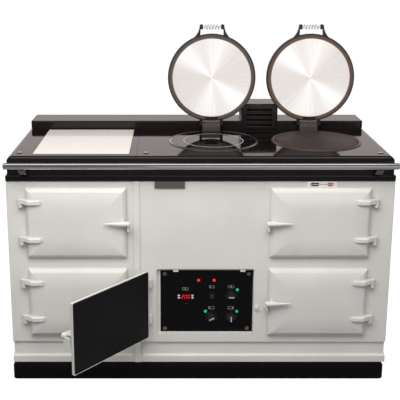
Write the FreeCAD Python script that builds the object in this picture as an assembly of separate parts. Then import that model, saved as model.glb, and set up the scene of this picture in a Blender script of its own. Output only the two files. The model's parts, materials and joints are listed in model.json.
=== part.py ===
import FreeCAD, Part
import math
import os

# Cast iron range cooker: a main unit with two ovens, a control compartment and a warming
# plate unit on its left. Millimetres, X to the viewer's right, Y to the back, Z up.
# The front plates' faces lie on Y = 0 and the plinth stands on Z = 0.

V = FreeCAD.Vector
X_AXIS, Y_AXIS, Z_AXIS = V(1, 0, 0), V(0, 1, 0), V(0, 0, 1)

# ---- driving dimensions -------------------------------------------------------------------
HALF_W = 743.5            # half of the overall width, at the lip of the top plate
TOP_Z = 913.0             # cooking level
BACK_Y = 672.0            # back of the casing
UNIT_SPLIT_X = -245.0     # joint between the left unit and the main unit

PLINTH_H = 66.6
PLINTH_HALF_W = 741.0
PLINTH_OFFSET_X = -4.0    # the plinth stands a little to the left, as in the photograph
PLINTH_FRONT_Y = -16.0

SKIRT_BEAD_H = 31.0
PLATE_BOTTOM_Z = 153.2    # lower edge of the front plates
PLATE_TOP_Z = 818.0
PLATE_HALF_W = 743.0
PLATE_T = 10.0

LIP_OUT = 6.5             # how far the lip stands out from the front plate
LIP_TOP_Z, LIP_BOTTOM_Z = 841.0, 818.5
SLAB_HALF_W = 737.5
TOP_ROLL_R = 20.0
TOP_SKIN = 13.0

DOOR_W, DOOR_H, DOOR_T = 386.0, 280.0, 31.0
LEFT_DOOR_X = -668.0      # hinge edge of the left unit's doors
RIGHT_DOOR_X = 653.0      # hinge edge of the right oven doors
UPPER_DOOR_Z, LOWER_DOOR_Z = 654.0, 328.0
CONTROL_DOOR_X, CONTROL_DOOR_W = -176.0, 394.0
CONTROL_OPEN_DEG = 131.3  # how far the control door stands open in the photograph
DOOR_GAP = 1.0            # rim of a closed door to the front plate
DOOR_CORNER_R = 5.0
DOOR_WALL = 8.0           # the door's upright edge ends this far ahead of the plate
DOOR_BEVEL = 15.0         # rounded bevel round the door's face
DOOR_SLOPE_W, DOOR_SLOPE = 66.0, 7.0    # the face slopes in from the bevel, then is flat
RIM_W = 7.5               # cast rim seen round an open door's panel
POCKET_Y = 14.0           # bottom of the casting's pocket, ahead of the plate
PANEL_IN = 5.0            # face of the control door's inner panel, ahead of the plate

PIVOT_OUT, PIVOT_FWD = 19.0, 13.0    # hinge pin: beside the door's edge, ahead of the plate
KNUCKLE_R, PIN_R, PIN_FIT = 9.5, 4.0, 0.05
STRAP_H, STRAP_REACH = 16.5, 68.0
STRAP_UP, STRAP_DOWN = 88.7, -61.7   # strap heights from the door's middle
STUB_H, STUB_GAP = 14.5, 0.4

HANDLE_Z, HANDLE_R = 7.0, 10.5       # spike handle, from the door's middle
HANDLE_LEN, HANDLE_PAST = 88.0, 14.0

OVEN_W, OVEN_H, OVEN_D = 346.0, 246.0, 470.0
OVEN_WALL, OVEN_R = 6.0, 24.0

PANEL_X0, PANEL_X1, PANEL_Z0, PANEL_Z1 = -154.6, 211.0, 188.5, 450.3
BAY_X0, BAY_X1, BAY_Z0, BAY_Z1 = -169.5, 212.5, 187.0, 462.0
PANEL_Y = 18.0            # face of the control panel, behind the front plate

HOB_Y, HOB_R = 269.0, 184.0
HOB_X = {"left": 61.0, "right": 482.8}
LID_R = 187.5
LID_LIFT_DEG = 92.0
LID_RIM_Z = TOP_Z + 6.0
LID_DOME_H = 66.0
LID_AXIS_Y, LID_AXIS_Z = HOB_Y + 204.0, TOP_Z + 27.0
LINER_R = 167.5
HINGE_HALF, LUG_GAP, LUG_T, LID_PIN_R = 38.0, 0.8, 12.0, 5.0

RAIL_Y0, RAIL_Y1, RAIL_H, RAIL_HALF_W = 501.0, 648.5, 35.3, 727.0
TOWER_X0, TOWER_X1, TOWER_Y1, TOWER_Z = 194.5, 352.5, 630.0, 1024.0
SHOULDER_R = 14.0          # shoulders of the tower and of its louvre
LOUVRE_X0, LOUVRE_X1 = 209.5, 344.5

BAR_Y, BAR_Z, BAR_R, BAR_HALF_L = -60.0, 892.5, 12.0, 736.0
BRACKET_X, BRACKET_W = 670.0, 28.0

COIL_R, COIL_WIRE_R, COIL_QUARTERS = 8.4, 2.2, 22     # coil grip: 5 1/2 turns
GRIP_REACH = 215.5        # coil grip from the lid's centre
GRIP_HALF = 38.5          # half the distance between the grip's posts
GRIP_UP = 18.0            # coil axis above the lid's rim


# ---- helpers ------------------------------------------------------------------------------
def box(x0, x1, y0, y1, z0, z1):
    return Part.makeBox(x1 - x0, y1 - y0, z1 - z0, V(x0, y0, z0))


def cyl(base, axis, radius, length):
    return Part.makeCylinder(radius, length, base, axis)


def fillet(shape, radius, pick):
    edges = [e for e in shape.Edges if pick(e)]
    return shape.makeFillet(radius, edges)


def chamfer(shape, size, pick):
    edges = [e for e in shape.Edges if pick(e)]
    return shape.makeChamfer(size, edges)


def along(axis):
    def pick(e):
        return isinstance(e.Curve, Part.Line) and abs(e.tangentAt(e.FirstParameter).dot(axis)) > 0.999
    return pick


def slab_xz(x0, x1, z0, z1, y0, y1, corner):
    """Plate facing the front, with rounded corners."""
    return fillet(box(x0, x1, y0, y1, z0, z1), corner, along(Y_AXIS))


def arched_slab(x0, x1, z0, z1, y0, y1, r):
    """Upright slab with rounded top corners and a square foot."""
    return slab_xz(x0, x1, z0 - 2 * r, z1, y0, y1, r).common(box(x0, x1, y0, y1, z0, z1))


def slab_xy(x0, x1, y0, y1, z0, z1, corner):
    """Plate lying flat, with rounded corners."""
    return fillet(box(x0, x1, y0, y1, z0, z1), corner, along(Z_AXIS))


def prism(points, direction):
    """Extrude a closed outline of 3-D points."""
    wire = Part.makePolygon([V(*p) for p in points] + [V(*points[0])])
    return Part.Face(wire).extrude(direction)


def revolve(profile, base, axis):
    """Turn a closed outline once round an axis."""
    wire = Part.makePolygon([V(*p) for p in profile] + [V(*profile[0])])
    return Part.Face(wire).revolve(base, axis, 360)


def fuse(shapes):
    result = shapes[0]
    for shape in shapes[1:]:
        result = result.fuse(shape)
    return result.removeSplitter()


def cut(shape, tools):
    for tool in tools:
        shape = shape.cut(tool)
    return shape


def mirrored(shape):
    return shape.mirror(V(0, 0, 0), X_AXIS)


def turned(shape, base, axis, degrees):
    result = shape.copy()
    result.rotate(base, axis, degrees)
    return result


def moved(shape, x, y, z):
    result = shape.copy()
    result.translate(V(x, y, z))
    return result


NODES = {}


def node(name, shape):
    NODES[name] = shape


# ---- plinth, skirt, plates and casing -----------------------------------------------------
def make_base():
    x0, x1 = PLINTH_OFFSET_X - PLINTH_HALF_W, PLINTH_OFFSET_X + PLINTH_HALF_W
    inset, ledge = 22.0, 13.0
    plinth = slab_xy(x0, x1, PLINTH_FRONT_Y, BACK_Y - 30, 0, PLINTH_H, 18)
    front_top = [e for e in plinth.Edges
                 if e.BoundBox.ZMin > PLINTH_H - 0.1 and e.BoundBox.YMax < PLINTH_FRONT_Y + 19]
    plinth = plinth.makeChamfer(ledge, front_top)
    plinth = plinth.cut(box(x0 + inset, x1 - inset, PLINTH_FRONT_Y + inset + 14, BACK_Y - 30 - inset,
                            -1, PLINTH_H - 4))
    node("plinth", plinth)

    # skirt: a recessed band over a bead, folded round the two sides
    recess, bead = 10.0, SKIRT_BEAD_H
    z0, z1 = PLINTH_H, PLATE_BOTTOM_Z + 30
    band = box(-PLATE_HALF_W + 3, PLATE_HALF_W - 3, recess, BACK_Y - 4, z0, z1)
    foot = box(-PLATE_HALF_W, PLATE_HALF_W, -2, BACK_Y - 4, z0, z0 + bead)
    foot = fillet(foot, 6, lambda e: e.BoundBox.ZMin > z0 + bead - 0.1 and e.BoundBox.YMax < BACK_Y - 5)
    skirt = band.fuse(foot).removeSplitter()
    cove = cyl(V(-800, -2, z0 + bead + 6), X_AXIS, 12, 1600)
    skirt = skirt.cut(cove)
    skirt = skirt.cut(box(-PLATE_HALF_W + 12, PLATE_HALF_W - 12, recess + 10, BACK_Y, z0 - 1, z1 + 1))
    node("base_skirt", skirt)


def oven_mouth(x_mid, z_mid, y0, y1, grow=0.0):
    return slab_xz(x_mid - OVEN_W / 2 - grow, x_mid + OVEN_W / 2 + grow,
                   z_mid - OVEN_H / 2 - grow, z_mid + OVEN_H / 2 + grow, y0, y1, OVEN_R + grow)


OVENS = {
    "top_left": (LEFT_DOOR_X + DOOR_W / 2, UPPER_DOOR_Z),
    "bottom_left": (LEFT_DOOR_X + DOOR_W / 2, LOWER_DOOR_Z),
    "top_right": (RIGHT_DOOR_X - DOOR_W / 2, UPPER_DOOR_Z),
    "bottom_right": (RIGHT_DOOR_X - DOOR_W / 2, LOWER_DOOR_Z),
}


def make_front_plates():
    gap = 0.5
    left = box(-PLATE_HALF_W, UNIT_SPLIT_X - gap, 0, PLATE_T, PLATE_BOTTOM_Z, PLATE_TOP_Z)
    main = box(UNIT_SPLIT_X + gap, PLATE_HALF_W, 0, PLATE_T, PLATE_BOTTOM_Z, PLATE_TOP_Z)
    mouths = [oven_mouth(x, z, -1, PLATE_T + 1) for x, z in OVENS.values()]
    bay = slab_xz(BAY_X0, BAY_X1, BAY_Z0, BAY_Z1, -1, PLATE_T + 1, 8)
    outer_edges = lambda e: (e.BoundBox.YMax < 0.1 and e.Length > 400 and abs(e.CenterOfMass.x) > 400)
    left = fillet(cut(left, mouths[:2]), 4, outer_edges)
    main = fillet(cut(main, mouths[2:] + [bay]), 4, outer_edges)
    node("front_plate_left", left)
    node("front_plate_main", main)
    strip = box(UNIT_SPLIT_X - 13, UNIT_SPLIT_X + 13, -5, -0.1, PLINTH_H + 0.1, PLATE_TOP_Z)
    strip = strip.cut(box(UNIT_SPLIT_X - 20, UNIT_SPLIT_X + 20, -2.1, 1, 0, PLINTH_H + SKIRT_BEAD_H + 0.5))
    strip = fillet(strip, 2.5, lambda e: e.BoundBox.YMax < -4.9 and e.Length > 400)
    node("cover_strip", strip)


def make_casing():
    """Side sheets and back sheet, folded from one piece, with the flue grille at the back."""
    sheet = 3.0
    x, z0, z1 = PLATE_HALF_W - 4, PLATE_BOTTOM_Z + 30.2, PLATE_TOP_Z
    shell = box(-x, x, PLATE_T + 0.2, BACK_Y, z0, z1)
    shell = fillet(shell, 6, lambda e: along(Z_AXIS)(e) and e.BoundBox.YMin > BACK_Y - 1)
    shell = shell.cut(box(-x + sheet, x - sheet, PLATE_T, BACK_Y - sheet, z0 - 1, z1 + 1))
    slots = []
    for row in range(6):
        z = 640 + row * 22
        for x_mid in (-430, 273):
            slots.append(box(x_mid - 70, x_mid + 70, BACK_Y - sheet - 1, BACK_Y + 1, z, z + 8))
    cable_hole = cyl(V(560, BACK_Y - sheet - 1, 240), Y_AXIS, 11, sheet + 2)
    node("casing", cut(shell, slots + [cable_hole]))


# ---- top plates and what they carry --------------------------------------------------------
def make_top():
    slab = box(-SLAB_HALF_W, SLAB_HALF_W, LIP_OUT - 6.5, BACK_Y + 2, LIP_BOTTOM_Z, TOP_Z)
    slab = fillet(slab, 10, lambda e: along(Z_AXIS)(e) and e.BoundBox.YMax < 5)
    slab = fillet(slab, TOP_ROLL_R, lambda e: e.BoundBox.ZMin > TOP_Z - 0.1 and e.BoundBox.YMin < BACK_Y)
    lip = box(-HALF_W, HALF_W, -LIP_OUT, BACK_Y + 2, LIP_BOTTOM_Z, LIP_TOP_Z)
    lip = fillet(lip, 8, lambda e: along(Z_AXIS)(e) and e.BoundBox.YMax < 5)
    rim = lambda e: (e.BoundBox.ZLength < 0.1 and e.BoundBox.YMin < BACK_Y)
    lip = fillet(lip, 4, rim)
    whole = slab.fuse(lip).removeSplitter()
    # the bead is set off from the face above it by a narrow groove
    groove_z = LIP_BOTTOM_Z + 14.5
    groove = box(-800, 800, -10, -LIP_OUT + 1.6, groove_z, groove_z + 1.6)
    whole = whole.cut(groove)
    hollow = box(-SLAB_HALF_W + 14, SLAB_HALF_W - 14, 14, BACK_Y - 12, LIP_BOTTOM_Z - 1, TOP_Z - TOP_SKIN)
    rib = box(UNIT_SPLIT_X - 12, UNIT_SPLIT_X + 12, 10, BACK_Y - 10, LIP_BOTTOM_Z - 2, TOP_Z)
    whole = whole.cut(hollow.cut(rib))
    warm = slab_xy(WARM_X0 - 0.5, WARM_X1 + 0.5, WARM_Y0 - 0.5, WARM_Y1 + 0.5, TOP_Z - 5, TOP_Z + 5, 3)
    holes = [cyl(V(x, HOB_Y, LIP_BOTTOM_Z - 5), Z_AXIS, HOB_R - 8, 120) for x in HOB_X.values()]
    whole = cut(whole, [warm] + holes)
    gap = 0.4
    left = whole.common(box(-900, UNIT_SPLIT_X - gap, -100, 900, 700, 1000))
    main = whole.common(box(UNIT_SPLIT_X + gap, 900, -100, 900, 700, 1000))
    node("top_plate_left", left)
    node("top_plate_main", main)


WARM_X0, WARM_X1, WARM_Y0, WARM_Y1 = -643.5, -273.5, 51.0, 480.0


def make_plate_fittings():
    warm = slab_xy(WARM_X0, WARM_X1, WARM_Y0, WARM_Y1, TOP_Z - 5, TOP_Z + 1, 3)
    warm = fillet(warm, 0.8, lambda e: e.BoundBox.ZMin > TOP_Z + 0.9)
    node("warming_plate", warm)

    # left: glass hob in a bright sloped ring; right: a machined iron hotplate in a plain ring
    for side, x in HOB_X.items():
        inner = HOB_R - 12
        ring = revolve([(x + HOB_R, HOB_Y, TOP_Z), (x + HOB_R - 1, HOB_Y, TOP_Z + 2.4),
                        (x + inner + 4, HOB_Y, TOP_Z + 4), (x + inner + 0.4, HOB_Y, TOP_Z + 3),
                        (x + inner + 0.4, HOB_Y, TOP_Z - 14), (x + HOB_R - 8.3, HOB_Y, TOP_Z - 14),
                        (x + HOB_R - 8.3, HOB_Y, TOP_Z)], V(x, HOB_Y, 0), Z_AXIS)
        node("hob_ring_left" if side == "left" else "hotplate_ring_right", ring)
    x = HOB_X["left"]
    node("hob_glass_left", cyl(V(x, HOB_Y, TOP_Z - 14), Z_AXIS, HOB_R - 12, 16.5))
    x, r = HOB_X["right"], HOB_R - 12
    plate = revolve([(x, HOB_Y, TOP_Z - 38), (x + r - 30, HOB_Y, TOP_Z - 38), (x + r - 12, HOB_Y, TOP_Z - 20),
                     (x + r, HOB_Y, TOP_Z - 14), (x + r, HOB_Y, TOP_Z + 2.5), (x + r - 1.5, HOB_Y, TOP_Z + 4),
                     (x + r - 5, HOB_Y, TOP_Z + 4), (x + r - 5.8, HOB_Y, TOP_Z + 3.2),
                     (x + r - 7.2, HOB_Y, TOP_Z + 3.2), (x + r - 8, HOB_Y, TOP_Z + 4), (x, HOB_Y, TOP_Z + 4)],
                    V(x, HOB_Y, 0), Z_AXIS)
    node("hotplate_right", plate)

    plugs = []
    for x, y in ((-697, 65), (-209, 64), (696, 60)):
        dome = revolve([(x, y, TOP_Z + 0.1), (x + 11, y, TOP_Z + 0.1), (x + 11, y, TOP_Z + 1.5),
                        (x + 8, y, TOP_Z + 3), (x, y, TOP_Z + 3.8)], V(x, y, 0), Z_AXIS)
        plugs.append(dome)
    node("fixing_plugs", Part.makeCompound(plugs))


def make_back_rail_and_tower():
    gap = 0.4
    pieces = []
    for x0, x1 in ((-RAIL_HALF_W, TOWER_X0 - gap), (TOWER_X1 + gap, RAIL_HALF_W)):
        beam = box(x0, x1, RAIL_Y0, RAIL_Y1, TOP_Z + 0.1, TOP_Z + RAIL_H)
        outer = x0 if x0 < 0 else x1
        beam = fillet(beam, 12, lambda e: along(Z_AXIS)(e) and abs(e.CenterOfMass.x - outer) < 1)
        beam = fillet(beam, 5, lambda e: e.BoundBox.ZMin > TOP_Z + RAIL_H - 0.1
                      and not (along(Y_AXIS)(e) and abs(e.CenterOfMass.x - outer) > 100))
        pieces.append(beam)
    node("back_rail", Part.makeCompound(pieces))

    # the tower is a thin hood with rounded shoulders, open below, its front cut out behind the louvre
    wall, edge_r = 3.0, 5.0
    tower = arched_slab(TOWER_X0, TOWER_X1, TOP_Z + 0.1, TOWER_Z, RAIL_Y0 - 1, TOWER_Y1, SHOULDER_R)
    tower = fillet(tower, edge_r, lambda e: e.BoundBox.YMax < RAIL_Y0 and e.BoundBox.ZMax > TOP_Z + 1)
    tower = tower.cut(arched_slab(TOWER_X0 + wall, TOWER_X1 - wall, TOP_Z - 1, TOWER_Z - wall, RAIL_Y0 + wall,
                                  TOWER_Y1 - wall, SHOULDER_R - wall))
    x0, x1, z0, z1 = LOUVRE_X0, LOUVRE_X1, TOP_Z + 2, TOWER_Z - 5.5
    left, right = x0 + 8, x1 - 16
    seat = arched_slab(x0 - 0.3, x1 + 0.3, z0 - 0.3, z1 + 0.3, RAIL_Y0 - 5, RAIL_Y0 + 1, SHOULDER_R)
    mouth = box(left - 2, right + 2, RAIL_Y0, RAIL_Y0 + 5, z0 + 6, z1 - 12)
    node("vent_tower", tower.cut(seat).cut(mouth))

    # the louvre: four slots, each between two beads, in a recess of a proud frame held by one screw
    slot_h, pitch, first, bead_r = 6.5, 22.2, z0 + 12, 3.0
    frame = arched_slab(x0, x1, z0, z1, RAIL_Y0 - 3, RAIL_Y0 + 0.9, SHOULDER_R)
    frame = chamfer(frame, 1.0, lambda e: e.BoundBox.YMax < RAIL_Y0 - 2.9)
    frame = frame.cut(box(left, right, RAIL_Y0 - 4, RAIL_Y0 - 1, first - 7, first + 3 * pitch + slot_h + 8.5))
    beads = []
    for k in range(4):
        z = first + k * pitch
        frame = frame.cut(box(left, right, RAIL_Y0 - 4, RAIL_Y0 + 3, z, z + slot_h))
        for bead_z in (z - bead_r - 0.6, z + slot_h + bead_r + 0.6):
            beads.append(cyl(V(left - 1, RAIL_Y0 + 0.2, bead_z), X_AXIS, bead_r, right - left + 2))
    front_half = box(x0, x1, RAIL_Y0 - 5, RAIL_Y0 + 0.5, z0, z1)
    screw = cyl(V((TOWER_X0 + TOWER_X1) / 2 - 2, RAIL_Y0 - 4.2, TOWER_Z - 14), Y_AXIS, 4, 3)
    node("vent_louvre", fuse([frame, screw] + [bead.common(front_half) for bead in beads]))


def make_handrail():
    bar = cyl(V(-BAR_HALF_L, BAR_Y, BAR_Z), X_AXIS, BAR_R, 2 * BAR_HALF_L)
    bar = fillet(bar, 3, lambda e: e.BoundBox.XLength < 0.1)
    node("handrail", bar)
    arms = []
    reach = BAR_Y + 2
    for x in (-BRACKET_X, BRACKET_X):
        arm = prism([(x - BRACKET_W / 2, y, z) for y, z in
                     ((-0.1, 845), (-0.1, 876), (-24, 884), (-40, 900), (reach, 898), (reach - 9, 884),
                      (reach - 7, 879), (reach + 6, 876), (-24, 850), (-8, 845))], V(BRACKET_W, 0, 0))
        arm = arm.cut(cyl(V(x - 50, BAR_Y, BAR_Z), X_AXIS, BAR_R + 0.05, 100))
        arms.append(arm)
    node("rail_brackets", Part.makeCompound(arms))


# ---- doors ----------------------------------------------------------------------------------
def strap(height, reach):
    """One hinge strap of a left-hung door whose hinge edge is X = 0: knuckle, bar and point."""
    half = STRAP_H / 2
    knuckle = cyl(V(-PIVOT_OUT, -PIVOT_FWD, height - half), Z_AXIS, KNUCKLE_R, STRAP_H)
    bar = prism([(-PIVOT_OUT, -PIVOT_FWD - KNUCKLE_R + 0.2, height - half), (2, -33, height - half),
                 (14, -39, height - half), (reach - 14, -38, height - half), (reach, -DOOR_T + 1, height - half),
                 (reach, -DOOR_T + 6, height - half), (6, -17, height - half), (-2, -7, height - half),
                 (-PIVOT_OUT, -PIVOT_FWD + 6, height - half)], V(0, 0, STRAP_H))
    # seen from the front the bar keeps its height almost to the end; its upper front edge is bevelled
    taper = prism([(-40, -60, height - half), (reach - 12, -60, height - half), (reach + 1, -60, height - 4),
                   (reach + 1, -60, height + 4), (reach - 12, -60, height + half), (-40, -60, height + half)],
                  V(0, 60, 0))
    bevel = prism([(-40, 0, height - half - 1), (-40, -60, height - half - 1), (-40, -60, height - 16),
                   (-40, -34, height + half), (-40, 0, height + half)], V(reach + 60, 0, 0))
    bar = bar.common(taper).common(bevel)
    bore = cyl(V(-PIVOT_OUT, -PIVOT_FWD, height - half - 1), Z_AXIS, PIN_R + PIN_FIT, STRAP_H - 3)
    return knuckle.fuse(bar).cut(bore)


def spike_handle(width):
    """Tapered handle past the free edge, its post, and the catch tongue that hangs from it."""
    x0, x1, y = width - HANDLE_LEN, width + HANDLE_PAST, -DOOR_T - 13
    z = HANDLE_Z
    spike = revolve([(x0, y, z), (x0 + 1, y, z + 1.6), (x0 + 30, y, z + 5), (x0 + 58, y, z + 8.6),
                     (x1 - 9, y, z + HANDLE_R), (x1 - 2.5, y, z + HANDLE_R - 2), (x1, y, z + HANDLE_R - 6),
                     (x1, y, z)], V(x0, y, z), X_AXIS)
    post = cyl(V(width - 14, y, z), Y_AXIS, 8, 26)
    tongue = box(width + 3, width + 9, y, -14, z - 37, z - 3)
    tongue = fillet(tongue, 8, lambda e: along(X_AXIS)(e) and e.CenterOfMass.y < y + 1
                    and e.CenterOfMass.z < z - 30)
    return [spike, post, tongue]


def crowned_prism(half, along_axis, middle):
    """Door-thick prism whose outline across the door is bevelled, sloped and then flat."""
    def spot(t, y):
        return middle + (Z_AXIS if along_axis == X_AXIS else X_AXIS) * t + V(0, y, 0)

    kink, flat = half - DOOR_BEVEL, half - DOOR_BEVEL - DOOR_SLOPE_W
    y_kink = DOOR_SLOPE - DOOR_T
    edges = [Part.LineSegment(spot(-half, -DOOR_GAP), spot(half, -DOOR_GAP)).toShape()]
    for side in (1, -1):
        edges.append(Part.LineSegment(spot(side * half, -DOOR_GAP), spot(side * half, -DOOR_WALL)).toShape())
        edges.append(Part.Arc(spot(side * half, -DOOR_WALL), spot(side * (half - DOOR_BEVEL * 0.38), -DOOR_WALL - 9.7),
                              spot(side * kink, y_kink)).toShape())
        edges.append(Part.Arc(spot(side * kink, y_kink), spot(side * (flat + kink) / 2, -DOOR_T + DOOR_SLOPE / 4),
                              spot(side * flat, -DOOR_T)).toShape())
    edges.append(Part.LineSegment(spot(flat, -DOOR_T), spot(-flat, -DOOR_T)).toShape())
    wire = Part.Wire(Part.__sortEdges__(edges))
    reach = 600
    return moved(Part.Face(wire).extrude(along_axis * reach), *(along_axis * (-reach / 2)))


def door_casting(width):
    """Left-hung door seen from the front: X runs from the hinge edge, Z from its middle."""
    half = DOOR_H / 2
    middle = V(width / 2, 0, 0)
    blank = slab_xz(0, width, -half, half, -DOOR_T - 5, -DOOR_GAP, DOOR_CORNER_R)
    blank = blank.common(crowned_prism(width / 2, Z_AXIS, middle)).common(crowned_prism(half, X_AXIS, middle))
    pocket = slab_xz(RIM_W, width - RIM_W, -half + RIM_W, half - RIM_W, -POCKET_Y, 1, 6)
    blank = blank.cut(pocket)
    pieces = [blank, strap(STRAP_UP, STRAP_REACH), strap(STRAP_DOWN, STRAP_REACH)] + spike_handle(width)
    return fuse(pieces)


def oven_liner(width):
    """Insulated inner panel: fills the casting's pocket and plugs the oven's mouth."""
    half = DOOR_H / 2
    fit, clear = 0.3, 4.0
    back = slab_xz(RIM_W + fit, width - RIM_W - fit, -half + RIM_W + fit, half - RIM_W - fit, 0.2 - POCKET_Y, -1.2, 6)
    plug = slab_xz((width - OVEN_W) / 2 + clear, (width + OVEN_W) / 2 - clear, -OVEN_H / 2 + clear,
                   OVEN_H / 2 - clear, -1.3, 16, OVEN_R - clear)
    plug = fillet(plug, 5, lambda e: e.BoundBox.YMin > 15.9)
    dish = slab_xz((width - OVEN_W) / 2 + 34, (width + OVEN_W) / 2 - 34, -OVEN_H / 2 + 34, OVEN_H / 2 - 34, 12, 17, 10)
    return fuse([back, plug]).cut(dish)


def control_liner(width):
    """Inner panel of the control door: two upright channels and a banded middle."""
    half = DOOR_H / 2
    fit, y = 0.3, -PANEL_IN
    panel = slab_xz(RIM_W + fit, width - RIM_W - fit, -half + RIM_W + fit, half - RIM_W - fit,
                    0.2 - POCKET_Y, y, 6)
    x_in, x_out = 0.266 * width, 0.79 * width
    z_low, z_high = (0.337 - 0.5) * DOOR_H, (0.685 - 0.5) * DOOR_H
    channel, reach = 4.0, half - RIM_W - 3
    for x in (x_in, x_out):
        panel = panel.cut(box(x - channel / 2, x + channel / 2, y - 3, 0, -reach, reach))
    panel = panel.cut(box(x_in, x_out, y - 1.2, 0, -reach, reach))
    return panel.cut(box(x_in, x_out, y - 2.6, 0, z_low, z_high))


def hinge_stub(height):
    """Bracket cast on the plate under a strap, in the door's own place."""
    top = height - STRAP_H / 2 - STUB_GAP
    barrel = cyl(V(-PIVOT_OUT, -PIVOT_FWD, top - STUB_H), Z_AXIS, KNUCKLE_R, STUB_H)
    neck = box(-PIVOT_OUT - KNUCKLE_R, -PIVOT_OUT + KNUCKLE_R, -PIVOT_FWD, -0.1, top - STUB_H, top)
    return barrel.fuse(neck).removeSplitter()


def hinge_pin(height):
    top = height - STRAP_H / 2 - STUB_GAP
    return cyl(V(-PIVOT_OUT, -PIVOT_FWD, top), Z_AXIS, PIN_R, STRAP_H - 5)


def keeper(width):
    """Ramp block on the plate behind a door's catch tongue."""
    block = box(width + 1, width + 11, -12.8, -0.1, HANDLE_Z - 42, HANDLE_Z - 26)
    return fillet(block, 3, lambda e: along(X_AXIS)(e) and e.CenterOfMass.y < -12)


def make_doors():
    casting = door_casting(DOOR_W)
    liner = oven_liner(DOOR_W)
    stubs, pins, keepers = [], [], []
    for name, (x_mid, z) in OVENS.items():
        left = name.endswith("left")
        edge = x_mid - DOOR_W / 2 if left else x_mid + DOOR_W / 2
        def place(shape):
            return moved(shape if left else mirrored(shape), edge, 0, z)
        node("door_" + name, place(casting))
        node("liner_" + name, place(liner))
        keepers.append(place(keeper(DOOR_W)))
        for height in (STRAP_UP, STRAP_DOWN):
            stubs.append(place(hinge_stub(height)))
            pins.append(place(hinge_pin(height)))

    def open_place(shape):
        closed = moved(shape, CONTROL_DOOR_X, 0, LOWER_DOOR_Z)
        pivot = V(CONTROL_DOOR_X - PIVOT_OUT, -PIVOT_FWD, 0)
        return turned(closed, pivot, Z_AXIS, -CONTROL_OPEN_DEG)
    node("control_door", open_place(door_casting(CONTROL_DOOR_W)))
    node("control_door_panel", open_place(control_liner(CONTROL_DOOR_W)))
    keepers.append(moved(keeper(CONTROL_DOOR_W), CONTROL_DOOR_X, 0, LOWER_DOOR_Z))
    for height in (STRAP_UP, STRAP_DOWN):
        stubs.append(moved(hinge_stub(height), CONTROL_DOOR_X, 0, LOWER_DOOR_Z))
        pins.append(moved(hinge_pin(height), CONTROL_DOOR_X, 0, LOWER_DOOR_Z))
    node("hinge_brackets", Part.makeCompound(stubs))
    for x in HOB_X.values():
        reach = HINGE_HALF + LUG_GAP + LUG_T - 0.5
        pins.append(cyl(V(x - reach, LID_AXIS_Y, LID_AXIS_Z), X_AXIS, LID_PIN_R, 2 * reach))
    node("hinge_pins", Part.makeCompound(pins))
    node("door_keepers", Part.makeCompound(keepers))


# ---- ovens ----------------------------------------------------------------------------------
SHELF_DROP = 20.0         # shelf below the middle of the oven


def make_ovens():
    y0, y1 = PLATE_T + 0.2, PLATE_T + OVEN_D
    shelves = []
    for name, (x, z) in OVENS.items():
        shell = oven_mouth(x, z, y0, y1 + OVEN_WALL, OVEN_WALL).cut(oven_mouth(x, z, y0 - 1, y1))
        runners = []
        for side in (-1, 1):
            wall = x + side * OVEN_W / 2
            for level in (z - SHELF_DROP - 6, z + SHELF_DROP + 30):
                runners.append(box(min(wall, wall - side * 8), max(wall, wall - side * 8), y0 + 30, y1, level, level + 5))
        node("oven_" + name, fuse([shell] + runners))

        # grid shelf: a frame and bars running front to back, lying on the lower runners
        zs, t = z - SHELF_DROP - 0.9, 5.0
        xs0, xs1, ys0, ys1 = x - OVEN_W / 2 + 2, x + OVEN_W / 2 - 2, y0 + 32, y1 - 6
        grid = box(xs0, xs1, ys0, ys1, zs, zs + t).cut(box(xs0 + t, xs1 - t, ys0 + t, ys1 - t, zs - 1, zs + t + 1))
        bars = 11
        pitch = (xs1 - xs0 - t) / (bars + 1)
        rods = [box(xs0 + (k + 1) * pitch, xs0 + (k + 1) * pitch + t, ys0 + 1, ys1 - 1, zs + 1, zs + t - 0.5)
                for k in range(bars)]
        shelves.append(grid.multiFuse(rods))
    node("oven_shelves", Part.makeCompound(shelves))


# ---- control panel --------------------------------------------------------------------------
KNOBS = {
    "knob_upper_right": (125.6, 342.4, 90.0),
    "knob_lower_middle": (48.4, 250.7, 60.0),
    "knob_lower_right": (125.6, 250.7, 0.0),
}
SELECTOR = (48.8, 342.4)
KNOB_R, KNOB_OUT = 13.0, 21.0
SPINDLE_R, SPINDLE_HOLE_R = 3.15, 3.2
DISPLAY_X0, DISPLAY_X1, DISPLAY_Z0, DISPLAY_Z1 = -93.0, -11.7, 315.4, 357.5
KEY_SEATS = [(-81.7, 343.4), (-81.7, 334.0), (-27.6, 343.4), (-27.6, 334.0)]
KEY_W, KEY_H, KEY_OUT, KEY_FIT = 8.0, 6.4, 2.0, 0.4
SCREWS = [(-137.1, 434.7), (193.4, 434.7), (-137.1, 204.1), (189.8, 204.1)]
CATCHES_X = (-94.0, 169.0)
RED_LAMPS = [(-3.7, 407.6), (57.4, 407.6)]
GREEN_LAMPS = [(149.4, 367.0), (24.2, 275.6), (148.7, 275.6)]


def knob(x, z, turn):
    """Round base with a grip bar across its face; turn is from upright, clockwise from the front."""
    base = cyl(V(x, PANEL_Y - 8, z), Y_AXIS, KNOB_R + 2, 7.5)
    base = chamfer(base, 1.5, lambda e: e.BoundBox.YMax < PANEL_Y - 7.9)
    grip = slab_xz(x - 4.5, x + 4.5, z - KNOB_R, z + KNOB_R, PANEL_Y - KNOB_OUT, PANEL_Y - 7, 4)
    grip = chamfer(grip, 1, lambda e: e.BoundBox.YMax < PANEL_Y - KNOB_OUT + 0.1)
    spindle = cyl(V(x, PANEL_Y - 1, z), Y_AXIS, SPINDLE_R, 7)
    return turned(fuse([base, grip, spindle]), V(x, 0, z), Y_AXIS, turn)


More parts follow.
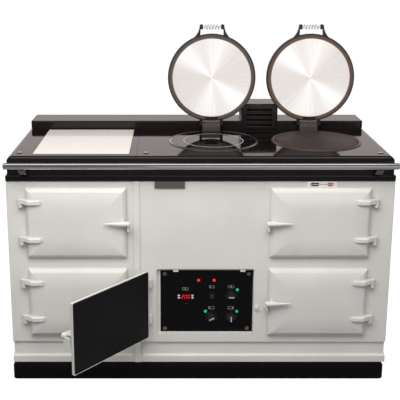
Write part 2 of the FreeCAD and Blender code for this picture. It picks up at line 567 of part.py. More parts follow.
def key_window(x, z, grow, y0, y1):
    w, h = KEY_W / 2 + grow, KEY_H / 2 + grow
    return box(x - w, x + w, y0, y1, z - h, z + h)


def lamp(x, z):
    """Domed lens standing on the control panel."""
    y = PANEL_Y
    return revolve([(x, y, z), (x + 6, y, z), (x + 6, y - 1.5, z), (x + 4, y - 3.6, z), (x, y - 4.4, z)],
                   V(x, 0, z), Y_AXIS)


def make_controls():
    """Tray behind the opening in the front plate, and the panel that is screwed into it."""
    y, wall, thick = PANEL_Y, 3.0, 3.0
    tray = box(BAY_X0 - wall, BAY_X1 + wall, PLATE_T + 0.2, y + thick + wall, BAY_Z0 - wall, BAY_Z1 + wall)
    tray = tray.cut(slab_xz(BAY_X0, BAY_X1, BAY_Z0, BAY_Z1, 0, y, 8))
    tray = tray.cut(box(PANEL_X0, PANEL_X1, y - 1, y + thick, PANEL_Z0, PANEL_Z1))
    tray = tray.cut(box(PANEL_X0 + 8, PANEL_X1 - 8, y, y + 20, PANEL_Z0 + 8, PANEL_Z1 - 8))
    # two catch blocks hang from the tray's top wall, just inside the opening
    for x in CATCHES_X:
        foot = box(x - 10, x + 10, PLATE_T + 0.5, y - 3, BAY_Z1 - 2, BAY_Z1 + 1)
        tray = fuse([tray, foot, box(x - 10, x + 10, 4, y - 3, BAY_Z1 - 13.5, BAY_Z1 - 0.5)])
    node("control_tray", tray)

    panel = box(PANEL_X0, PANEL_X1, y, y + thick, PANEL_Z0, PANEL_Z1)
    bezel = slab_xz(DISPLAY_X0, DISPLAY_X1, DISPLAY_Z0, DISPLAY_Z1, y - 1.6, y, 3)
    windows = [key_window(x, z, KEY_FIT, y - 5, y + 5) for x, z in KEY_SEATS]
    spindle_holes = [cyl(V(x, y - 1, z), Y_AXIS, SPINDLE_HOLE_R, 5)
                     for x, z in [(x, z) for x, z, _ in KNOBS.values()] + [SELECTOR]]
    node("control_panel", cut(panel, windows + spindle_holes))
    node("temperature_display", cut(bezel, windows))
    for k, (x, z) in enumerate(KEY_SEATS):
        cap = key_window(x, z, 0, y - 1.6 - KEY_OUT, y + thick)
        node("key_%d" % (k + 1), fillet(cap, 0.8, lambda e: e.BoundBox.YMax < y - 1.5 - KEY_OUT))
    node("control_screws", Part.makeCompound([
        chamfer(cyl(V(x, y - 3.2, z), Y_AXIS, 8, 3.2), 1.5, lambda e: e.BoundBox.YMax < y - 3.1)
        for x, z in SCREWS]))

    for name, (x, z, turn) in KNOBS.items():
        node(name, knob(x, z, turn))
    x, z = SELECTOR
    small = cyl(V(x, y - 12, z), Y_AXIS, 9, 11.5)
    small = chamfer(small, 1.5, lambda e: e.BoundBox.YMax < y - 11.9)
    small = small.cut(box(x - 1, x + 1, y - 12.5, y - 11, z, z + 10))
    node("mode_selector", small.fuse(cyl(V(x, y - 1, z), Y_AXIS, SPINDLE_R, 7)))
    node("lamps_red", Part.makeCompound([lamp(x, z) for x, z in RED_LAMPS]))
    node("lamps_green", Part.makeCompound([lamp(x, z) for x, z in GREEN_LAMPS]))


def make_front_fittings():
    """Two small plates under the lip: a blank one and the heat indicator, which clears the door below."""
    z0, z1 = 791.5, PLATE_TOP_Z + 0.2
    badge = slab_xz(-174.7, -59.4, z0, z1, -7.5, -0.1, 2)
    node("badge_plate", fillet(badge, 1.2, lambda e: e.BoundBox.YMax < -7.4))
    z0 = UPPER_DOOR_Z + DOOR_H / 2 + 0.8
    gauge = slab_xz(404.2, 519.6, z0, z1, -7.5, -0.1, 2)
    gauge = gauge.cut(slab_xz(408, 516, z0 + 4, z1 - 4, -9, -6.3, 1.5))
    node("heat_indicator", gauge)


# ---- lids -----------------------------------------------------------------------------------
def arc_edge(start, corner, end):
    """Circular arc that leaves start towards corner and arrives at end from corner."""
    middle = (start + end) * 0.5
    half_chord, height = (end - start).Length / 2, (corner - middle).Length
    side = (corner - start).Length
    radius = half_chord * side / height
    sagitta = radius - math.sqrt(radius ** 2 - half_chord ** 2)
    return Part.Arc(start, middle + (corner - middle) * (sagitta / height), end).toShape()


def biarc(p0, t0, p1, t1):
    """Two arcs from p0 to p1 with unit tangents t0 and t1."""
    chord, total = p1 - p0, t0 + t1
    bend = 2 * (1 - t0.dot(t1))
    reach = (-chord.dot(total) + math.sqrt(chord.dot(total) ** 2 + bend * chord.dot(chord))) / bend
    q0, q1 = p0 + t0 * reach, p1 - t1 * reach
    joint = (q0 + q1) * 0.5
    return [arc_edge(p0, q0, joint), arc_edge(joint, q1, p1)]


def coil_grip(x, y, z):
    """Open coil along X between the two posts; its first and last half turns draw in to the posts."""
    straight, sunk, inner = 2 * COIL_WIRE_R, 3.0, 3.0
    span = 2 * (GRIP_HALF - straight)
    rise = span / (COIL_QUARTERS * math.pi / 2)

    def radius(quarter):
        return inner + (COIL_R - inner) * min(quarter / 2, (COIL_QUARTERS - quarter) / 2, 1)

    def spot(quarter):
        a = quarter * math.pi / 2
        return V(x - span / 2 + span * quarter / COIL_QUARTERS, y + radius(quarter) * math.cos(a),
                 z + radius(quarter) * math.sin(a))

    def heading(quarter):
        if quarter in (0, COIL_QUARTERS):
            return X_AXIS
        a = quarter * math.pi / 2
        t = V(rise, -radius(quarter) * math.sin(a), radius(quarter) * math.cos(a))
        return t.normalize()

    start, finish = spot(0), spot(COIL_QUARTERS)
    lead = X_AXIS * (straight + sunk)
    edges = [Part.LineSegment(start - lead, start).toShape()]
    for k in range(COIL_QUARTERS):
        edges += biarc(spot(k), heading(k), spot(k + 1), heading(k + 1))
    edges.append(Part.LineSegment(finish, finish + lead).toShape())
    path = Part.Wire(edges)
    circle = Part.Wire([Part.Circle(start - lead, X_AXIS, COIL_WIRE_R).toShape()])
    tube = path.makePipeShell([circle], True, False)
    expected = math.pi * COIL_WIRE_R ** 2 * path.Length
    # least gap between stretches of the tube more than half a turn apart
    count = 400
    points = path.discretize(Number=count)
    apart = int(math.pi * COIL_R / (path.Length / (count - 1)))
    gap = min((points[i] - points[j]).Length for i in range(count) for j in range(i + apart, count))
    print("coil volume ratio %.4f, least gap %.2f mm" % (tube.Volume / expected, gap - 2 * COIL_WIRE_R))
    sockets = [cyl(start - lead, X_AXIS, COIL_WIRE_R + 0.05, straight), cyl(finish, X_AXIS, COIL_WIRE_R + 0.05,
                                                                          straight + sunk)]
    return tube, sockets


def lid_dome(x):
    """Hollow lid turned about its centre: flat rim, ledge for the liner, upright wall, dome."""
    r, recess, wall = LID_R, 3.0, 5.0
    wall_top, shoulder = 22.0, 30.0

    def out(radius, height):
        return V(x + radius, HOB_Y, LID_RIM_Z + height)

    def dome(top, radius, height):
        """Arc about a point on the lid's axis, from a shoulder up to the top of the dome."""
        drop = top - height
        dome_r = (radius ** 2 + drop ** 2) / (2 * drop)
        middle = radius / 2
        rise = top - dome_r + math.sqrt(dome_r ** 2 - middle ** 2)
        return Part.Arc(out(radius, height), out(middle, rise), out(0, top)).toShape()

    edges = [
        Part.LineSegment(out(LINER_R, recess), out(LINER_R, 0)).toShape(),
        Part.LineSegment(out(LINER_R, 0), out(r - 3, 0)).toShape(),
        Part.LineSegment(out(r - 3, 0), out(r, 3)).toShape(),
        Part.LineSegment(out(r, 3), out(r, wall_top)).toShape(),
        Part.Arc(out(r, wall_top), out(r - 3.5, shoulder), out(r - 12, shoulder + 5)).toShape(),
        dome(LID_DOME_H, r - 12, shoulder + 5),
        Part.LineSegment(out(0, LID_DOME_H), out(0, LID_DOME_H - wall)).toShape(),
        dome(LID_DOME_H - wall, LINER_R - wall, shoulder + 3.5),
        Part.LineSegment(out(LINER_R - wall, shoulder + 3.5), out(LINER_R - wall, recess)).toShape(),
        Part.LineSegment(out(LINER_R - wall, recess), out(LINER_R, recess)).toShape(),
    ]
    return Part.Face(Part.Wire(edges)).revolve(V(x, HOB_Y, 0), Z_AXIS, 360)


def grip_post(x, side):
    """Curved post from the lid's rim to one end of the coil grip."""
    z0 = LID_RIM_Z + GRIP_UP - 9

    def spot(dx, reach):
        return V(x + side * dx, HOB_Y - reach, z0)

    corners = [(90, 150), (50, 168), (49, 205), (GRIP_HALF, 206), (GRIP_HALF, 225), (42, 226.5), (48, 226.5), (52, 223)]
    edges = [Part.LineSegment(spot(*a), spot(*b)).toShape() for a, b in zip(corners, corners[1:])]
    edges.append(Part.Arc(spot(52, 223), spot(61, 190), spot(97, 158)).toShape())
    edges.append(Part.LineSegment(spot(97, 158), spot(90, 150)).toShape())
    return Part.Face(Part.Wire(edges)).extrude(V(0, 0, 18))


def lid_shell(x, sockets):
    """Lid in its closed place, with the posts of its grip and the two lugs of its hinge."""
    lugs = []
    for side in (-1, 1):
        near = x + side * (HINGE_HALF + LUG_GAP)
        x0 = min(near, near + side * LUG_T)
        lug = box(x0, x0 + LUG_T, HOB_Y + LID_R - 14, LID_AXIS_Y, LID_AXIS_Z - 10, LID_AXIS_Z + 10)
        lug = lug.fuse(cyl(V(x0, LID_AXIS_Y, LID_AXIS_Z), X_AXIS, 10, LUG_T))
        lugs.append(lug.cut(cyl(V(x0 - 1, LID_AXIS_Y, LID_AXIS_Z), X_AXIS, LID_PIN_R + PIN_FIT, LUG_T + 2)))
    shell = fuse([lid_dome(x), grip_post(x, -1), grip_post(x, 1)] + lugs)
    notch = box(x - 27, x + 27, HOB_Y + LINER_R - 2, HOB_Y + LID_R + 5, LID_RIM_Z - 1, LID_RIM_Z + 14)
    notch = notch.cut(cyl(V(x, HOB_Y, LID_RIM_Z - 2), Z_AXIS, LINER_R + 1, 20))
    return cut(shell, [notch] + sockets)


def lid_hinge_block(x):
    """Block on the top plate that the lid's lugs stand either side of."""
    front, back = HOB_Y + HOB_R + 5, RAIL_Y0 - 0.3
    outline = [(front, TOP_Z + 0.1), (front, TOP_Z + 17), (front + 2.5, TOP_Z + 26), (front + 6, TOP_Z + 35),
               (front + 13, TOP_Z + 39), (front + 20, TOP_Z + 39), (back, TOP_Z + 41), (back, TOP_Z + 0.1)]
    block = prism([(x - HINGE_HALF, y, z) for y, z in outline], V(2 * HINGE_HALF, 0, 0))
    return block.cut(cyl(V(x - 80, LID_AXIS_Y, LID_AXIS_Z), X_AXIS, LID_PIN_R, 160))


def make_lids():
    blocks = []
    for side, x in HOB_X.items():
        axis = V(x, LID_AXIS_Y, LID_AXIS_Z)

        def raised(shape):
            return turned(shape, axis, X_AXIS, -LID_LIFT_DEG)
        coil, sockets = coil_grip(x, HOB_Y - GRIP_REACH, LID_RIM_Z + GRIP_UP)
        node("lid_" + side, raised(lid_shell(x, sockets)))
        liner = cyl(V(x, HOB_Y, LID_RIM_Z + 1), Z_AXIS, LINER_R - 0.2, 2)
        node("lid_liner_" + side, raised(liner))
        node("lid_grip_" + side, raised(coil))
        blocks.append(lid_hinge_block(x))
    node("lid_hinge_blocks", Part.makeCompound(blocks))


def main():
    make_base()
    make_front_plates()
    make_casing()
    make_top()
    make_plate_fittings()
    make_back_rail_and_tower()
    make_handrail()
    make_doors()
    make_ovens()
    make_controls()
    make_front_fittings()
    make_lids()
    os.makedirs("parts", exist_ok=True)
    for name, shape in NODES.items():
        if not shape.isValid():
            print("NOT VALID", name)
        shape.exportStep("parts/%s.step" % name)
    print(len(NODES), "nodes")


main()
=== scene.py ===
import json
import math
import bpy
import bmesh
from mathutils import Matrix, Vector


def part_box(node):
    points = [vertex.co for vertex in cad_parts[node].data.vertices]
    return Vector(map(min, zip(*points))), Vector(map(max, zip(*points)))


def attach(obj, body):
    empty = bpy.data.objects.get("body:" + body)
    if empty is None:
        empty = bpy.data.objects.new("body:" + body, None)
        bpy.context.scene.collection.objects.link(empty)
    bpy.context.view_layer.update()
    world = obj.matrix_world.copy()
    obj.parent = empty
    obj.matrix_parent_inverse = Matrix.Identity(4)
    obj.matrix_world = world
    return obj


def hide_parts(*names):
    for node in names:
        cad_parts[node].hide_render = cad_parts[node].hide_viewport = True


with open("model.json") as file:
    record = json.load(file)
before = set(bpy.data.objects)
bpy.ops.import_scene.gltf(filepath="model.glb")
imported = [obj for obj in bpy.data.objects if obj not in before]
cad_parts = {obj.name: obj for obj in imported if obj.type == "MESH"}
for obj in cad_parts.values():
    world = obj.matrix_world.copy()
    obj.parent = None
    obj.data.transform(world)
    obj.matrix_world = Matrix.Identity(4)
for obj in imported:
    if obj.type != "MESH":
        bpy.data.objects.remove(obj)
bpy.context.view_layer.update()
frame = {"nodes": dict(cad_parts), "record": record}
nodes = frame["nodes"]
MM = 0.001


# ---- materials --------------------------------------------------------------------------------
class Tree:
    """Short names for making and joining the nodes of a material or a world."""

    def __init__(self, tree):
        self.tree = tree

    def new(self, kind, **props):
        node = self.tree.nodes.new(kind)
        for key, value in props.items():
            setattr(node, key, value)
        return node

    def link(self, a, b):
        self.tree.links.new(a, b)

    def math(self, operation, a, b=None):
        """Math node over sockets and plain numbers."""
        node = self.new("ShaderNodeMath", operation=operation)
        for socket, value in zip(node.inputs, (a, b)):
            if isinstance(value, (int, float)):
                socket.default_value = value
            elif value is not None:
                self.link(value, socket)
        return node.outputs[0]

    def range(self, fac, low, high, from_low=0.3, from_high=0.7):
        node = self.new("ShaderNodeMapRange")
        for key, value in (("From Min", from_low), ("From Max", from_high),
                           ("To Min", low), ("To Max", high)):
            node.inputs[key].default_value = value
        self.link(fac, node.inputs["Value"])
        return node.outputs["Result"]

    def mix(self, fac, a, b):
        node = self.new("ShaderNodeMix", data_type="RGBA")
        for socket, value in ((node.inputs[0], fac), (node.inputs[6], a), (node.inputs[7], b)):
            if isinstance(value, tuple):
                socket.default_value = (*value, 1)
            else:
                self.link(value, socket)
        return node.outputs[2]


class Nodes(Tree):
    """A new material with its shader and the patterns that the looks share."""

    def __init__(self, name):
        self.mat = bpy.data.materials.new(name)
        self.mat.use_nodes = True
        super().__init__(self.mat.node_tree)
        self.bsdf = self.tree.nodes["Principled BSDF"]
        self.where = self.new("ShaderNodeTexCoord").outputs["Object"]

    def noise(self, scale, detail=3.0, stretch=(1, 1, 1)):
        at = self.new("ShaderNodeMapping")
        at.inputs["Scale"].default_value = stretch
        self.link(self.where, at.inputs["Vector"])
        tex = self.new("ShaderNodeTexNoise")
        tex.inputs["Scale"].default_value = scale
        tex.inputs["Detail"].default_value = detail
        self.link(at.outputs["Vector"], tex.inputs["Vector"])
        return tex.outputs["Fac"]

    def ramp(self, fac, stops):
        ramp = self.new("ShaderNodeValToRGB")
        points = ramp.color_ramp.elements
        while len(points) < len(stops):
            points.new(0.5)
        for point, (place, colour) in zip(points, stops):
            point.position = place
            point.color = (*colour, 1) if isinstance(colour, tuple) else (colour, colour, colour, 1)
        self.link(fac, ramp.inputs["Fac"])
        return ramp.outputs["Color"]

    def from_point(self, centre):
        """Vector from a point to the place that is shaded."""
        node = self.new("ShaderNodeVectorMath", operation="SUBTRACT")
        node.inputs[1].default_value = centre
        self.link(self.where, node.inputs[0])
        return node.outputs[0]

    def length(self, vector):
        node = self.new("ShaderNodeVectorMath", operation="LENGTH")
        self.link(vector, node.inputs[0])
        return node.outputs["Value"]

    def bump(self, height, strength, distance=0.0005, under=None):
        node = self.new("ShaderNodeBump")
        node.inputs["Strength"].default_value = strength
        node.inputs["Distance"].default_value = distance
        self.link(height, node.inputs["Height"])
        if under is not None:
            self.link(under, node.inputs["Normal"])
        return node.outputs["Normal"]

    def shade(self, colour, rough, normal=None, **constants):
        for key, source in (("Base Color", colour), ("Roughness", rough), ("Normal", normal)):
            if isinstance(source, float):
                self.bsdf.inputs[key].default_value = source
            elif source is not None:
                self.link(source, self.bsdf.inputs[key])
        for key, value in constants.items():
            self.bsdf.inputs[key.replace("_", " ")].default_value = value
        return self.mat


# noise scales, per metre
CLOUD, WAVES, PATCH, PEEL, SPECKS = 5.0, 22.0, 60.0, 160.0, 900.0


def enamel(name, base, rough=(0.16, 0.24), spread=0.04, wave=0.12, coat=0.4, speck=0.0, shine=0.5):
    """Vitreous enamel over a casting: glossy, a little wavy, with faint cloudiness."""
    n = Nodes(name)
    dark = tuple(c * (1 - spread) for c in base)
    pale = tuple(min(1.0, c * (1 + spread)) for c in base)
    colour = n.ramp(n.noise(CLOUD), [(0.3, dark), (0.7, pale)])
    if speck:
        dots = n.ramp(n.noise(SPECKS, 1.0), [(0.68, 0.0), (0.74, 1.0)])
        colour = n.mix(dots, colour, tuple(c * (1 - speck) for c in base))
    peel = n.bump(n.noise(PEEL, 2.0), wave, 0.0004)
    wavy = n.bump(n.noise(WAVES, 1.0), wave, 0.0012, peel)
    return n.shade(colour, n.range(n.noise(PATCH), *rough), wavy, Coat_Weight=coat, Coat_Roughness=0.03,
                   IOR=1.5, Specular_IOR_Level=shine)


def metal(name, base, rough=(0.2, 0.3), stretch=(1, 1, 1), grain=0.1, spread=0.06, scale=260.0,
          metallic=1.0):
    """Metal with fine brushed or ground lines along the direction that stretch leaves long."""
    n = Nodes(name)
    lines = n.noise(scale, 4.0, stretch)
    dark = tuple(c * (1 - spread) for c in base)
    colour = n.ramp(lines, [(0.3, dark), (0.7, base)])
    return n.shade(colour, n.range(lines, *rough), n.bump(lines, grain, 0.0002), Metallic=metallic)


def plastic(name, base, rough=(0.3, 0.42), grain=0.1, **constants):
    """Moulded or printed surface with a fine grain."""
    n = Nodes(name)
    dark = tuple(c * 0.86 for c in base)
    colour = n.ramp(n.noise(90.0), [(0.35, dark), (0.65, base)])
    return n.shade(colour, n.range(n.noise(420.0), *rough), n.bump(n.noise(1500.0, 2.0), grain, 0.00015),
                   **constants)


def radial_liner(name):
    """Spun aluminium sheet: grooves round the middle, and painted highlights in its colour: fans of paler
    colour that spread from the middle, broken by radial streaks.
    """
    n = Nodes(name)
    n.where = n.new("ShaderNodeTexCoord").outputs["Generated"]
    split = n.new("ShaderNodeSeparateXYZ")
    n.link(n.from_point((0.5, 0.5, 0.5)), split.inputs[0])
    angle = n.math("ARCTAN2", split.outputs["Z"], split.outputs["X"])
    flat = n.new("ShaderNodeCombineXYZ")
    n.link(split.outputs["X"], flat.inputs["X"])
    n.link(split.outputs["Z"], flat.inputs["Z"])
    reach = n.length(flat.outputs[0])

    def along(a, b, scale_a, scale_b, detail):
        """Noise over two measures, drawn out by their scales."""
        at = n.new("ShaderNodeCombineXYZ")
        n.link(a, at.inputs["X"])
        n.link(b, at.inputs["Y"])
        place = n.new("ShaderNodeMapping")
        place.inputs["Scale"].default_value = (scale_a, scale_b, 1)
        n.link(at.outputs[0], place.inputs["Vector"])
        tex = n.new("ShaderNodeTexNoise")
        tex.inputs["Scale"].default_value = 1.0
        tex.inputs["Detail"].default_value = detail
        n.link(place.outputs[0], tex.inputs["Vector"])
        return tex.outputs["Fac"]

    def painted_highlight_lobe(direction, power, weight):
        """Painted highlight: a pair of paler fans that face each other across the middle."""
        cosine = n.math("COSINE", n.math("SUBTRACT", angle, math.radians(direction)))
        return n.math("MULTIPLY", n.math("POWER", n.math("MULTIPLY", cosine, cosine), power), weight)

    # painted highlights: one pair from the upper left to the lower right, and a wider one close to upright
    painted_highlight_fans = n.math("ADD", painted_highlight_lobe(137, 9, 0.75), painted_highlight_lobe(82, 5, 0.55))
    streaks = n.range(along(angle, reach, 14.0, 0.4, 3.0), -0.12, 0.12)
    colour = n.ramp(n.math("ADD", painted_highlight_fans, streaks),
                    [(0.0, (0.74, 0.7, 0.67)), (0.35, (0.86, 0.83, 0.81)), (0.8, (0.99, 0.98, 0.97))])
    grooves = along(reach, angle, 420.0, 0.3, 2.0)
    tangent = n.new("ShaderNodeTangent", direction_type="RADIAL", axis="Y")
    n.link(tangent.outputs[0], n.bsdf.inputs["Tangent"])
    return n.shade(colour, n.range(grooves, 0.11, 0.15), n.bump(grooves, 0.05, 0.0001), Metallic=1.0,
                   Anisotropic=0.3)


PLATE_BROWN_FROM, PLATE_BROWN_TO = 0.140, 0.168      # distance from the middle over which the rim browns


def hotplate_iron(name, centre):
    """Machined cast iron, seasoned: fine turning marks round the centre, browner at the rim."""
    n = Nodes(name)
    reach = n.length(n.from_point(centre))
    rings = n.new("ShaderNodeTexNoise", noise_dimensions="1D")
    rings.inputs["Scale"].default_value = 900.0
    n.link(reach, rings.inputs["W"])
    blotch = n.noise(18.0)
    base = n.ramp(blotch, [(0.3, (0.05, 0.039, 0.036)), (0.7, (0.075, 0.06, 0.056))])
    colour = n.mix(n.range(reach, 0.0, 1.0, PLATE_BROWN_FROM, PLATE_BROWN_TO), base, (0.062, 0.038, 0.027))
    return n.shade(colour, n.range(blotch, 0.42, 0.58), n.bump(rings.outputs["Fac"], 0.12, 0.0002),
                   Metallic=0.35)


LID_LEAN = math.radians(2)      # how far a raised lid leans back
DARK_ENAMEL = (0.014, 0.01, 0.01)


def lid_casting(name, centre, edge_r, tint):
    """Cast lid: bare and brown on the underside round the liner, dark enamel on the rim and the dome."""
    n = Nodes(name)
    offset = n.from_point(centre)
    reach = n.length(offset)
    cloud = n.ramp(n.noise(24.0), [(0.3, tuple(0.8 * c for c in tint)), (0.7, tint)])
    pale_ring = n.range(reach, 0.0, 1.0, edge_r - 0.019, edge_r - 0.014)
    underside = n.mix(pale_ring, tuple(1.7 * c for c in tint), cloud)
    rim = n.range(reach, 0.0, 1.0, edge_r - 0.008, edge_r - 0.003)
    depth = n.new("ShaderNodeVectorMath", operation="DOT_PRODUCT")
    depth.inputs[1].default_value = (0, math.cos(LID_LEAN), -math.sin(LID_LEAN))
    n.link(offset, depth.inputs[0])
    dome = n.range(depth.outputs["Value"], 0.0, 1.0, 0.004, 0.008)
    colour = n.mix(n.math("MAXIMUM", rim, dome), underside, DARK_ENAMEL)
    return n.shade(colour, n.range(n.noise(PATCH), 0.3, 0.42), n.bump(n.noise(PEEL, 2.0), 0.15, 0.0004),
                   Coat_Weight=0.2, Coat_Roughness=0.05)


HOTPLATE_CENTRE = (0.4828, 0.269, 0.913)
MATS = {
    "cream_enamel": enamel("cream_enamel", (0.68, 0.66, 0.625), speck=0.05, coat=0.2),
    "warm_enamel": enamel("warm_enamel", (0.76, 0.72, 0.66), rough=(0.28, 0.3), spread=0.012, wave=0.003,
                          coat=0.6),
    "black_enamel": enamel("black_enamel", (0.006, 0.0045, 0.0045), rough=(0.05, 0.09), spread=0.2, wave=0.03,
                           coat=0.0),
    "beam_enamel": enamel("beam_enamel", (0.012, 0.008, 0.008), rough=(0.16, 0.24), spread=0.2, wave=0.06,
                          coat=0.0),
    "grip_chrome": metal("grip_chrome", (0.86, 0.86, 0.88), rough=(0.2, 0.28), grain=0.01, metallic=0.45),
    "lid_enamel": enamel("lid_enamel", (0.06, 0.046, 0.04), rough=(0.28, 0.4), spread=0.1, wave=0.2,
                         coat=0.25),
    "plinth_black": enamel("plinth_black", (0.002, 0.0015, 0.003), rough=(0.35, 0.45), spread=0.2, wave=0.1,
                           coat=0.0, shine=0.15),
    "side_enamel": enamel("side_enamel", (0.66, 0.635, 0.6), rough=(0.32, 0.42), coat=0.1),
    "cast_iron": hotplate_iron("cast_iron", HOTPLATE_CENTRE),
    "oven_iron": enamel("oven_iron", (0.02, 0.018, 0.018), rough=(0.3, 0.45), spread=0.2, wave=0.3, coat=0.1,
                        speck=-0.8),
    "chrome": metal("chrome", (0.75, 0.74, 0.73), rough=(0.06, 0.1), grain=0.02),
    "ring_steel": metal("ring_steel", (0.5, 0.49, 0.48), rough=(0.2, 0.28), grain=0.03),
    "steel": metal("steel", (0.5, 0.48, 0.46), rough=(0.25, 0.38), stretch=(1, 1, 0.05)),
    "rail_steel": metal("rail_steel", (0.68, 0.67, 0.67), rough=(0.14, 0.15), stretch=(0.02, 1, 1),
                        grain=0.001, spread=0.02, scale=300.0),
    "aluminium": radial_liner("aluminium"),
    "liner_alu": metal("liner_alu", (0.55, 0.54, 0.52), rough=(0.3, 0.42), stretch=(0.04, 1, 1)),
    "hob_glass": enamel("hob_glass", (0.005, 0.004, 0.0045), rough=(0.03, 0.05), spread=0.1, wave=0.01,
                        coat=0.0, shine=0.42),
    "door_panel": plastic("door_panel", (0.005, 0.005, 0.0055), rough=(0.36, 0.5), grain=0.12,
                          Specular_IOR_Level=0.25),
    "panel_black": plastic("panel_black", (0.003, 0.0025, 0.003), rough=(0.12, 0.16), grain=0.01,
                           Specular_IOR_Level=0.15),
    "knob_black": plastic("knob_black", (0.02, 0.019, 0.02), rough=(0.3, 0.42)),
    "key_white": plastic("key_white", (0.62, 0.61, 0.58), rough=(0.4, 0.5)),
    "lamp_red": plastic("lamp_red", (0.65, 0.01, 0.015), rough=(0.12, 0.18), grain=0.02,
                        Emission_Color=(1.0, 0.02, 0.02, 1), Emission_Strength=0.6),
    "lamp_green": plastic("lamp_green", (0.01, 0.4, 0.18), rough=(0.12, 0.18), grain=0.02,
                          Emission_Color=(0.0, 0.6, 0.25, 1), Emission_Strength=0.35),
    "plate_satin": metal("plate_satin", (0.34, 0.31, 0.28), rough=(0.4, 0.5), stretch=(0.04, 1, 1)),
    "gauge_white": enamel("gauge_white", (0.85, 0.82, 0.77), rough=(0.2, 0.3), wave=0.03),
    "brass_screw": metal("brass_screw", (0.36, 0.29, 0.25), rough=(0.3, 0.4)),
    "zone_grey": plastic("zone_grey", (0.42, 0.41, 0.4), rough=(0.3, 0.4)),
    "print_grey": plastic("print_grey", (0.3, 0.27, 0.26), rough=(0.4, 0.5)),
    "print_dark": plastic("print_dark", (0.05, 0.045, 0.045), rough=(0.4, 0.5)),
    "print_red": plastic("print_red", (0.62, 0.015, 0.04), rough=(0.35, 0.45)),
    "digit_red": plastic("digit_red", (0.7, 0.01, 0.01), rough=(0.3, 0.4),
                         Emission_Color=(1.0, 0.01, 0.02, 1), Emission_Strength=0.7),
}
LID_TINT = {"left": (0.075, 0.056, 0.048), "right": (0.1, 0.06, 0.042)}
for side in ("left", "right"):
    low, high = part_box("lid_liner_" + side)
    middle = tuple((a + b) / 2 for a, b in zip(low, high))
    edge = (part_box("lid_" + side)[1][0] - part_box("lid_" + side)[0][0]) / 2
    MATS["lid_" + side] = lid_casting("lid_" + side, middle, edge, LID_TINT[side])

# nodes that don't take the look of their slot
LOOK = {"back_rail": "beam_enamel", "vent_tower": "beam_enamel", "vent_louvre": "beam_enamel",
        "lid_left": "lid_left", "lid_right": "lid_right", "lid_hinge_blocks": "lid_enamel",
        "hotplate_ring_right": "lid_enamel", "rail_brackets": "black_enamel", "control_screws": "brass_screw",
        "hob_ring_left": "ring_steel", "lid_grip_left": "grip_chrome", "lid_grip_right": "grip_chrome"}
slot_of = {part["node"]: part["material_slot"] for part in frame["record"]["subparts"]}

for name, obj in nodes.items():
    look = LOOK.get(name) or slot_of.get(name)
    obj.data.materials.clear()
    obj.data.materials.append(MATS[look])


# ---- pieces the castings carry ------------------------------------------------------------------
# places and sizes from here on are in millimetres, in the part's frame; the front looks towards -y
PANEL_Y = 18.0                  # face of the control panel
KNOB_FACE_Y = -3.0
DISPLAY_PROUD = 1.6             # how far the display stands out from the panel
GAUGE_Y, GAUGE_BARS_Z = -6.3, (811.2, 801.9)
# node: (x, z, degrees that its white line is turned)
KNOBS = {"knob_upper_right": (125.6, 342.4, 90.0), "knob_lower_middle": (48.4, 250.7, 60.0),
         "knob_lower_right": (125.6, 250.7, 0.0)}


def piece(name, bm, material, body):
    """Finished object from a mesh in the making, riding on a body of the frame."""
    bmesh.ops.recalc_face_normals(bm, faces=bm.faces)
    mesh = bpy.data.meshes.new(name)
    bm.to_mesh(mesh)
    bm.free()
    obj = bpy.data.objects.new(name, mesh)
    bpy.context.scene.collection.objects.link(obj)
    mesh.materials.append(MATS[material])
    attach(obj, body)
    return obj


def prints(name, outlines, face_y, material, body, depth=0.15):
    """Flat marks on a face that looks to the front; each outline is a loop of (x, z) in millimetres."""
    bm = bmesh.new()
    for loop in outlines:
        rings = [[bm.verts.new((x * MM, y * MM, z * MM)) for x, z in loop]
                 for y in (face_y, face_y - depth)]
        bm.faces.new(rings[1])
        bm.faces.new(rings[0])
        for k in range(len(loop)):
            bm.faces.new((rings[0][k], rings[0][k - 1], rings[1][k - 1], rings[1][k]))
    return piece(name, bm, material, body)


def rect(x, z, w, h, turn=0.0):
    """Rectangle round (x, z), turned clockwise by so many degrees."""
    c, s = math.cos(math.radians(turn)), math.sin(math.radians(turn))
    corners = [(-w / 2, -h / 2), (w / 2, -h / 2), (w / 2, h / 2), (-w / 2, h / 2)]
    return [(x + u * c + v * s, z - u * s + v * c) for u, v in corners]


def arc_band(x, z, r0, r1, start, end, steps=28):
    """Part of a ring, from one angle to another in degrees."""
    angles = [math.radians(start + (end - start) * k / steps) for k in range(steps + 1)]
    return [(x + r0 * math.cos(a), z + r0 * math.sin(a)) for a in angles] + \
           [(x + r1 * math.cos(a), z + r1 * math.sin(a)) for a in reversed(angles)]


def border(x, z, w, h, line=1.1):
    """Four thin bars round a rectangle."""
    return [rect(x, z + (h - line) / 2, w, line), rect(x, z - (h - line) / 2, w, line),
            rect(x - (w - line) / 2, z, line, h - 2 * line), rect(x + (w - line) / 2, z, line, h - 2 * line)]


def cooker_icon(x, z, filled, w=24.0, h=11.5):
    """Outline of a cooker in three cells, with the cell that the control works filled in."""
    marks = border(x, z, w, h)
    cells = (-w / 3, 0.0, w / 3)
    for k, dx in enumerate(cells):
        marks.append(rect(x + dx, z, w / 3 - 3.4, h - 4.4) if k == filled else
                     rect(x + dx, z - h * 0.18, w / 3 - 4.4, 1.1))
    return marks


DIAL_FROM, DIAL_TO, DIAL_STEP = -30, 210, 30      # degrees
TICK_R = 22.4


def dial_marks(x, z):
    """Arc round a knob with a tick at each step."""
    marks = [arc_band(x, z, 19.0, 20.0, DIAL_FROM, DIAL_TO)]
    for degrees in range(DIAL_FROM, DIAL_TO + 1, DIAL_STEP):
        a = math.radians(degrees)
        marks.append(rect(x + TICK_R * math.cos(a), z + TICK_R * math.sin(a), 0.9, 2.6, 90 - math.degrees(a)))
    return marks


